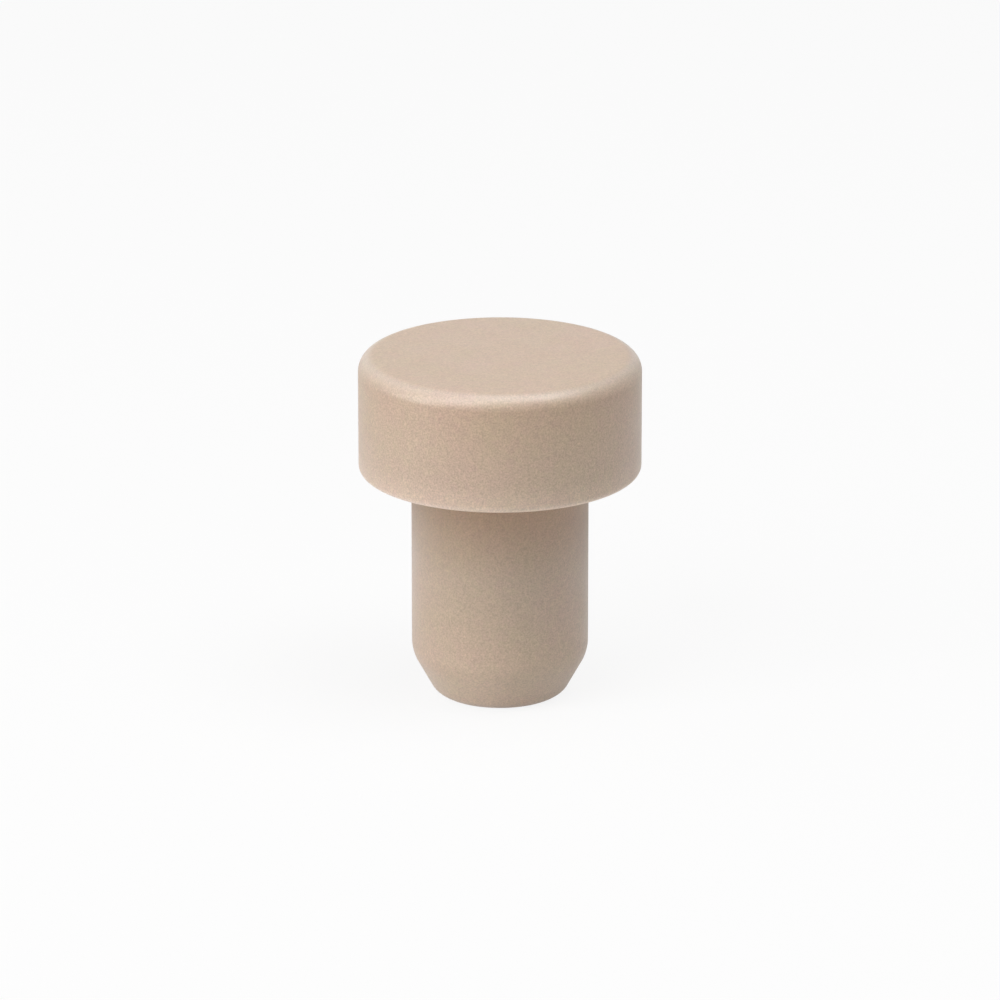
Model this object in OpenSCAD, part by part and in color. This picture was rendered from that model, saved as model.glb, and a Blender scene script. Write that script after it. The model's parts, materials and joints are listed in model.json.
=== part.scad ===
// Bottle stopper in one piece: a broad round head to grip, and a round shank with a
// tapered tip that presses into the bottle's mouth.
// The stopper stands on its tip at z = 0, and its axis is the Z axis.

/* [Head] */
// Diameter of the head
head_d = 30.3; // [26:0.1:40]
// Height of the head, from the shoulder up to the top face
head_h = 13; // [8:0.1:20]
// Radius of the rounded edge around the top face
head_top_r = 1.8; // [0.5:0.1:3]
// Radius of the rounded edge around the shoulder
head_lip_r = 0.9; // [0.3:0.1:2]

/* [Shank] */
// Diameter of the shank, which a bottle's mouth squeezes
shank_d = 19; // [16:0.1:21]
// Length of the shank, from the shoulder down to the tip
shank_l = 24.9; // [18:0.1:35]

/* [Tip] */
// Height of the taper at the end of the shank
taper_h = 4.8; // [3:0.05:7]
// How far the taper draws in on each side
taper_inset = 2.65; // [1:0.05:4]
// Radius that blends the shank into the taper
taper_blend_r = 3.9; // [1:0.1:5]
// Radius of the rounded edge around the tip's flat face
tip_r = 1.9; // [0.5:0.1:2.5]

/* [Hidden] */
// Radii of the head, of the shank, and of the taper's lower end before it is rounded
head_r = head_d / 2;
shank_r = shank_d / 2;
taper_end_r = shank_r - taper_inset;

// Heights of the shoulder and of the top face
shoulder_z = shank_l;
top_z = shoulder_z + head_h;

// The taper's slope: its angle from the vertical, and its length
taper_angle = atan(taper_inset / taper_h);
taper_slope = taper_h / cos(taper_angle);

// The angle between the taper and the tip's flat face
tip_turn = 90 - taper_angle;

// How far each rounding at the taper's ends reaches along the lines that it joins
blend_reach = taper_blend_r * tan(taper_angle / 2);
tip_reach = tip_r * tan(tip_turn / 2);

// How far the taper lies under its two roundings, so that they cross it cleanly
sink = 0.0001;

// Number of straight steps that a preview draws in a full circle
$fn = 128;

// A point of the taper, at a distance up its slope from its lower end
function up_taper(distance) = [
    taper_end_r + distance * sin(taper_angle) - sink * cos(taper_angle),
    distance * cos(taper_angle) + sink * sin(taper_angle)
];

// Half of the stopper's section, right of the axis, with each corner that will be
// rounded cut off straight between the two ends of its rounding
module cut_corner_section() {
    polygon([
        [0, 0],
        [taper_end_r - tip_reach, 0],
        up_taper(tip_reach),
        up_taper(taper_slope - blend_reach),
        [shank_r, taper_h + blend_reach],
        [shank_r, shoulder_z],
        [head_r - head_lip_r, shoulder_z],
        [head_r, shoulder_z + head_lip_r],
        [head_r, top_z - head_top_r],
        [head_r - head_top_r, top_z],
        [0, top_z]
    ]);
}

// The half disc that fills out one cut corner to an arc. Its flat side faces the axis
// and lies inside the section.
module rounding(radius, centre_r, centre_z) {
    translate([centre_r, centre_z])
    intersection() {
        circle(r = radius);
        translate([0, -2 * radius]) square([2 * radius, 4 * radius]);
    }
}

// The whole body, turned about its axis
module stopper() {
    color([0.76, 0.67, 0.58])
    rotate_extrude() {
        cut_corner_section();
        rounding(head_top_r, head_r - head_top_r, top_z - head_top_r);
        rounding(head_lip_r, head_r - head_lip_r, shoulder_z + head_lip_r);
        rounding(taper_blend_r, shank_r - taper_blend_r, taper_h + blend_reach);
        rounding(tip_r, taper_end_r - tip_reach, tip_r);
    }
}

stopper();
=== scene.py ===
import json
import math

import bmesh
import bpy
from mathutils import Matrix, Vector


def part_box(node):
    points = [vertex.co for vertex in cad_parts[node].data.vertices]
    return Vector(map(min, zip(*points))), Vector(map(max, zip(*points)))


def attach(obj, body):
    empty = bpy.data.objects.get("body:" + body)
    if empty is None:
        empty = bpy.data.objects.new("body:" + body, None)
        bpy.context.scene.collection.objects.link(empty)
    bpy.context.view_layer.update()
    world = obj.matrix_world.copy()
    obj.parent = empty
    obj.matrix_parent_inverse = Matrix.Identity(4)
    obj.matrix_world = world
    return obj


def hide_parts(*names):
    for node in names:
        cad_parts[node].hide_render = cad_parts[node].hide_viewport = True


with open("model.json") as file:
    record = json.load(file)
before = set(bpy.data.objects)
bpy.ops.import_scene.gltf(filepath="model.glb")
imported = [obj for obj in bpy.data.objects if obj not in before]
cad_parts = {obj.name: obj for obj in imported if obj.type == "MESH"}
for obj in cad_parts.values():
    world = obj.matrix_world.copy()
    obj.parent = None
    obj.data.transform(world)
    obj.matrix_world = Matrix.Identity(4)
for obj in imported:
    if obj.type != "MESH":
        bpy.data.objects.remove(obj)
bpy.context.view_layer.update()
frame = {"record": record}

# The stopper is one body of very fine cork grain, pressed in a round mould and rubbed
# to a satin skin. Head, shank and tapered tip run into each other with no seam, and
# every outer edge is rounded so that it neither chips nor cuts the hand.
MM = 0.001
head_r, _, head_top_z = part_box("stopper")[1]
mounts = {mount["name"]: mount for mount in frame["record"]["mounts"]}
shoulder_z = mounts["shoulder"]["pos_m"][2]
shank_r = mounts["shank"]["dims"]["r_mm"] * MM
taper_h = 4.8 * MM
taper_inset = 2.65 * MM
head_top_rounding = 1.8 * MM
head_lip_rounding = 0.9 * MM
taper_blend_rounding = 3.9 * MM
tip_rounding = 1.9 * MM
turn_steps = 288
rim_steps = 12
edge_steps = 8
same_place = 0.01 * MM


def cork_body():
    """The section's corners, spun about the Z axis, with each ring of corners rounded."""
    body = bmesh.new()
    corners = [
        (0, 0),
        (shank_r - taper_inset, 0),
        (shank_r, taper_h),
        (shank_r, shoulder_z),
        (head_r, shoulder_z),
        (head_r, head_top_z),
        (0, head_top_z),
    ]
    points = [body.verts.new((r, 0, z)) for r, z in corners]
    lines = [body.edges.new(pair) for pair in zip(points, points[1:])]
    bmesh.ops.spin(body, geom=points + lines, cent=(0, 0, 0), axis=(0, 0, 1),
                   angle=math.tau, steps=turn_steps, use_merge=True)
    bmesh.ops.remove_doubles(body, verts=body.verts, dist=same_place / 10)
    taper_angle = math.atan(taper_inset / taper_h)
    roundings = [
        (head_r, head_top_z, head_top_rounding, math.pi / 2, rim_steps),
        (head_r, shoulder_z, head_lip_rounding, math.pi / 2, edge_steps),
        (shank_r, taper_h, taper_blend_rounding, taper_angle, edge_steps),
        (shank_r - taper_inset, 0, tip_rounding, math.pi / 2 - taper_angle, edge_steps),
    ]
    for ring_r, ring_z, rounding, turn, segments in roundings:
        ring = [edge for edge in body.edges
                if all(abs(v.co.z - ring_z) < same_place
                       and abs(v.co.xy.length - ring_r) < same_place for v in edge.verts)]
        bmesh.ops.bevel(body, geom=ring, offset=rounding * math.tan(turn / 2),
                        offset_type="OFFSET", affect="EDGES", segments=segments,
                        profile=0.5, material=-1)
    bmesh.ops.recalc_face_normals(body, faces=body.faces)
    for face in body.faces:
        face.smooth = True
    mesh = bpy.data.meshes.new("cork_body")
    body.to_mesh(mesh)
    body.free()
    return mesh


stopper = bpy.data.objects.new("cork_body", cork_body())
bpy.context.scene.collection.objects.link(stopper)

satin_cork = bpy.data.materials.new("satin_cork")
satin_cork.use_nodes = True
nodes = satin_cork.node_tree.nodes
links = satin_cork.node_tree.links
place = nodes.new("ShaderNodeTexCoord").outputs["Object"]

# Its two tones, and what they are multiplied by for the painted light, the painted shade and
# the painted white of the rim's highlight.
rose_cork = (0.525, 0.363, 0.279, 1)
olive_cork = (0.482, 0.373, 0.251, 1)
painted_light_tone = (1.57, 1.68, 1.82, 1)
painted_shade_tone = (0.80, 0.65, 0.49, 1)
painted_highlight_white = (0.97, 1.02, 1.10, 1)

# Its patterns, from the widest to the finest: how wide, how strong and how high.
blotch_size = 7 * MM
blotch_shift = (30 * MM, 13 * MM, 6 * MM)
blotch_range = (0.35, 0.65)
blotch_olive = (0, 0.4)
dent_size = 3 * MM
dent_height = 0.04 * MM
granule_size = 0.8 * MM
granule_olive = (0.05, 0.55)
granule_tones = (0.975, 1.025)
mottle_size = 0.5 * MM
mottle_tones = (0.96, 1.04)
fleck_gap = 0.45 * MM
fleck_reach = 0.3
fleck_tones = (1.10, 0.99)
grain_size = 0.18 * MM
grain_tones = (0.82, 1.18)
grain_height = 0.035 * MM
grain_left_on_top = 0.7


def fill(socket, value):
    """A socket takes either a plain value or the output of another node."""
    if isinstance(value, bpy.types.NodeSocket):
        links.new(value, socket)
    else:
        socket.default_value = value


def specks(size, detail, at=place):
    """Noise whose specks are about the given size across."""
    noise = nodes.new("ShaderNodeTexNoise")
    fill(noise.inputs["Vector"], at)
    fill(noise.inputs["Scale"], 1 / size)
    fill(noise.inputs["Detail"], detail)
    return noise.outputs["Fac"]


def ranged(value, low, high, to_low, to_high):
    """A value moved from one range to another, and held inside it."""
    node = nodes.new("ShaderNodeMapRange")
    for name, number in (("Value", value), ("From Min", low), ("From Max", high),
                         ("To Min", to_low), ("To Max", to_high)):
        fill(node.inputs[name], number)
    return node.outputs["Result"]


def spread(noise, to_low, to_high):
    """The middle of a noise's range, where nearly all of it lies, moved to another range."""
    return ranged(noise, 0.3, 0.7, to_low, to_high)


def mixed(blend_type, factor, first, second):
    """Two colours, one laid over the other."""
    node = nodes.new("ShaderNodeMix")
    node.data_type = "RGBA"
    node.blend_type = blend_type
    for name, value in (("Factor", factor), ("A", first), ("B", second)):
        fill(node.inputs[name], value)
    return node.outputs["Result"]


def combined(operation, first, second):
    """Two values added or multiplied."""
    node = nodes.new("ShaderNodeMath")
    node.operation = operation
    fill(node.inputs[0], first)
    fill(node.inputs[1], second)
    return node.outputs["Value"]


def bumped(height, distance, under=None):
    """A normal raised by height times distance, on top of the one under it."""
    node = nodes.new("ShaderNodeBump")
    fill(node.inputs["Height"], height)
    fill(node.inputs["Distance"], distance)
    if under:
        fill(node.inputs["Normal"], under)
    return node.outputs["Normal"]


def cells(size):
    """Cells about the given size across, each with a colour and a centre of its own."""
    voronoi = nodes.new("ShaderNodeTexVoronoi")
    fill(voronoi.inputs["Vector"], place)
    fill(voronoi.inputs["Scale"], 1 / size)
    return voronoi


blotch_place = nodes.new("ShaderNodeMapping")
fill(blotch_place.inputs["Vector"], place)
fill(blotch_place.inputs["Location"], blotch_shift)
blotches = specks(blotch_size, 3, blotch_place.outputs["Vector"])
granules = cells(granule_size)
flecks = cells(fleck_gap)
grain = specks(grain_size, 2)

# Painted light lightens the lip (a painted highlight), the tip (painted bounce light) and a
# little of the rim and top; painted shade darkens the skin just under the head and the head's
# side just under the rim; the rim is polished and its highlight painted whiter; and the top
# is smooth.
tip_fade = 2 * MM
shade_depth = 9.4 * MM
lip_line = (0.1 * MM, 0.3 * MM, 0.5 * MM)
lip_fade = 3 * MM
rim_depth = 0.2 * MM
# A height, and then how much painted light, polish, painted shade and smoothness the skin has
# there.
height_stops = [
    (0, 0.15, 0, 0, 0.3),
    (taper_h, 0.07, 0, 0, 0.3),
    (taper_h + tip_fade, 0, 0, 0, 0.3),
    (shoulder_z - shade_depth, 0, 0, 0, 0.3),
    (shoulder_z, 0, 0, 1, 0.3),
    (shoulder_z + lip_line[0], 1, 0, 0, 0),
    (shoulder_z + lip_line[1], 1, 0, 0, 0),
    (shoulder_z + lip_line[2], 0.7, 0, 0, 0),
    (shoulder_z + head_lip_rounding, 0.27, 0, 0, 0),
    (shoulder_z + lip_fade, 0, 0, 0, 0),
    (head_top_z - head_top_rounding, 0, 0, 0.32, 0),
    (head_top_z - rim_depth, 0.05, 1, 0, 0.5),
    (head_top_z, 0.041, 0, 0, 1),
]
height = nodes.new("ShaderNodeSeparateXYZ")
links.new(place, height.inputs["Vector"])
height_ramp = nodes.new("ShaderNodeValToRGB")
fill(height_ramp.inputs["Fac"], ranged(height.outputs["Z"], 0, head_top_z, 0, 1))
# A new ramp has two stops of its own, and the others are added to it.
for number, (stop_z, *amounts) in enumerate(height_stops):
    stop = height_ramp.color_ramp.elements[number] if number < 2 else height_ramp.color_ramp.elements.new(1)
    stop.position = stop_z / head_top_z
    stop.color = amounts
height_channels = nodes.new("ShaderNodeSeparateColor")
links.new(height_ramp.outputs["Color"], height_channels.inputs["Color"])
painted_light, polish_and_painted_white, painted_shade = (height_channels.outputs[name] for name in ("Red", "Green", "Blue"))
smooth = height_ramp.outputs["Alpha"]

granule_tone = ranged(granules.outputs["Color"], 0, 1, *granule_tones)
grain_tone = spread(grain, *grain_tones)
mottle_tone = spread(specks(mottle_size, 1), *mottle_tones)
fleck_tone = ranged(flecks.outputs["Distance"], 0, fleck_reach, *fleck_tones)
olive = combined("ADD", ranged(blotches, *blotch_range, *blotch_olive),
                 ranged(granules.outputs["Color"], 0, 1, *granule_olive))
tint = mixed("MIX", olive, rose_cork, olive_cork)
tint = mixed("MULTIPLY", 1.0, tint, combined("MULTIPLY", granule_tone, mottle_tone))
tint = mixed("MULTIPLY", ranged(smooth, 0, 1, 1, grain_left_on_top), tint, grain_tone)
tint = mixed("MULTIPLY", 1.0, tint, fleck_tone)
# Painted shade: darker and warmer just under the head, and on the head's side just under the
# rim.
tint = mixed("MULTIPLY", painted_shade, tint, painted_shade_tone)
# Painted light: a painted highlight along the lip, painted bounce light on the tip, and a
# little on the rim and top.
tint = mixed("MULTIPLY", painted_light, tint, painted_light_tone)
# Painted highlight: the rim's colour turned whiter where it is polished, so that its
# highlight looks whiter. The same mask gives the rim its clear film.
tint = mixed("MULTIPLY", polish_and_painted_white, tint, painted_highlight_white)
dents = bumped(specks(dent_size, 1), dent_height)

# The bare skin is satin, and the polish on the rim is a thin clear film.
satin_roughness = (0.46, 0.54)
film_weight = 0.49
shader = nodes["Principled BSDF"]
fill(shader.inputs["Base Color"], tint)
fill(shader.inputs["Roughness"], spread(specks(dent_size, 2), *satin_roughness))
fill(shader.inputs["Coat Weight"], combined("MULTIPLY", polish_and_painted_white, film_weight))
fill(shader.inputs["Normal"], bumped(grain, grain_height, dents))
shader.inputs["IOR"].default_value = 1.53
shader.inputs["Specular IOR Level"].default_value = 1.0
shader.inputs["Coat Roughness"].default_value = 0.35
shader.inputs["Sheen Weight"].default_value = 0.23
shader.inputs["Sheen Roughness"].default_value = 0.48
stopper.data.materials.append(satin_cork)

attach(stopper, "root")
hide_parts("stopper")

# The floor is a plain white sheet that runs on past the view on every side. It is lifted
# most of the way to pure white, and keeps a faint shadow round the stopper's tip.
floor_size = 4.0
floor_tone = (0.80, 0.80, 0.80, 1)
floor_lift = 0.88
floor_shape = bmesh.new()
bmesh.ops.create_grid(floor_shape, x_segments=1, y_segments=1, size=floor_size / 2)
floor_mesh = bpy.data.meshes.new("floor")
floor_shape.to_mesh(floor_mesh)
floor_shape.free()
floor = bpy.data.objects.new("floor", floor_mesh)
bpy.context.scene.collection.objects.link(floor)


def lifted(tree, amount):
    """How far a surface is lifted to white, for all rays but those that light the stopper."""
    ray = tree.nodes.new("ShaderNodeLightPath")
    seen = ray.outputs["Is Camera Ray"]
    for kind in ("Is Glossy Ray", "Is Transmission Ray"):
        either = tree.nodes.new("ShaderNodeMath")
        either.operation = "MAXIMUM"
        tree.links.new(seen, either.inputs[0])
        tree.links.new(ray.outputs[kind], either.inputs[1])
        seen = either.outputs["Value"]
    share = tree.nodes.new("ShaderNodeMath")
    share.operation = "MULTIPLY"
    tree.links.new(seen, share.inputs[0])
    share.inputs[1].default_value = amount
    return share.outputs["Value"]


white_floor = bpy.data.materials.new("white_floor")
white_floor.use_nodes = True
tree = white_floor.node_tree
matte = tree.nodes["Principled BSDF"]
matte.inputs["Base Color"].default_value = floor_tone
matte.inputs["Roughness"].default_value = 1
matte.inputs["Specular IOR Level"].default_value = 0
white = tree.nodes.new("ShaderNodeEmission")
lift = tree.nodes.new("ShaderNodeMixShader")
tree.links.new(lifted(tree, floor_lift), lift.inputs["Fac"])
tree.links.new(matte.outputs["BSDF"], lift.inputs[1])
tree.links.new(white.outputs["Emission"], lift.inputs[2])
tree.links.new(lift.outputs["Shader"], tree.nodes["Material Output"].inputs["Surface"])
floor.data.materials.append(white_floor)

# The studio round the stopper is a plain white tent. It is white to look at, and gives no
# light of its own.
world = bpy.data.worlds.new("studio")
bpy.context.scene.world = world
world.use_nodes = True
backdrop = world.node_tree.nodes["Background"]
backdrop.inputs["Color"].default_value = (1, 1, 1, 1)
world.node_tree.links.new(lifted(world.node_tree, 1.0), backdrop.inputs["Strength"])

# Round softboxes stand about the stopper, all a metre from its shoulder. The widest hangs
# overhead, and the others stand round it on their poles.
stand_off = 1.0
aim = Vector((0, 0, 25 * MM))
# A lamp's name, its rise and its turn from the front in degrees, its width in metres, and
# how bright it makes a white sheet that faces it.
softboxes = [
    ("overhead", 77.2, 59, 0.89, 0.551),
    ("key", 43, -40, 0.68, 0.466),
    ("low_left", 11.3, -72, 0.54, 0.398),
    ("right", 60, 63, 0.6, 0.199),
    ("back_left", 50, -115, 0.6, 0.096),
]
for name, rise, turn, width, strength in softboxes:
    rise, turn = math.radians(rise), math.radians(turn)
    toward = Vector((math.sin(turn) * math.cos(rise),
                     -math.cos(turn) * math.cos(rise),
                     math.sin(rise)))
    softbox = bpy.data.objects.new(name, bpy.data.lights.new(name, "AREA"))
    bpy.context.scene.collection.objects.link(softbox)
    softbox.location = aim + toward * stand_off
    softbox.rotation_euler = toward.to_track_quat("Z", "Y").to_euler()
    softbox.data.shape = "DISK"
    softbox.data.size = width
    softbox.data.energy = strength * math.pi ** 2 * stand_off ** 2

# The camera stands in front, and looks down a little at the stopper. Its long lens keeps
# the sides of the shank upright.
view_height = 21.55 * MM
view_width = 107.27 * MM
view_distance = 772 * MM
view_elevation = math.radians(18.3)
camera = bpy.data.objects.new("camera", bpy.data.cameras.new("camera"))
bpy.context.scene.collection.objects.link(camera)
camera.location = Vector((0, -math.cos(view_elevation) * view_distance,
                          view_height + math.sin(view_elevation) * view_distance))
camera.rotation_euler = (math.pi / 2 - view_elevation, 0, 0)
camera.data.sensor_width = 36
camera.data.lens = camera.data.sensor_width * view_distance / view_width
bpy.context.scene.camera = camera

bpy.context.scene.view_settings.view_transform = "Standard"
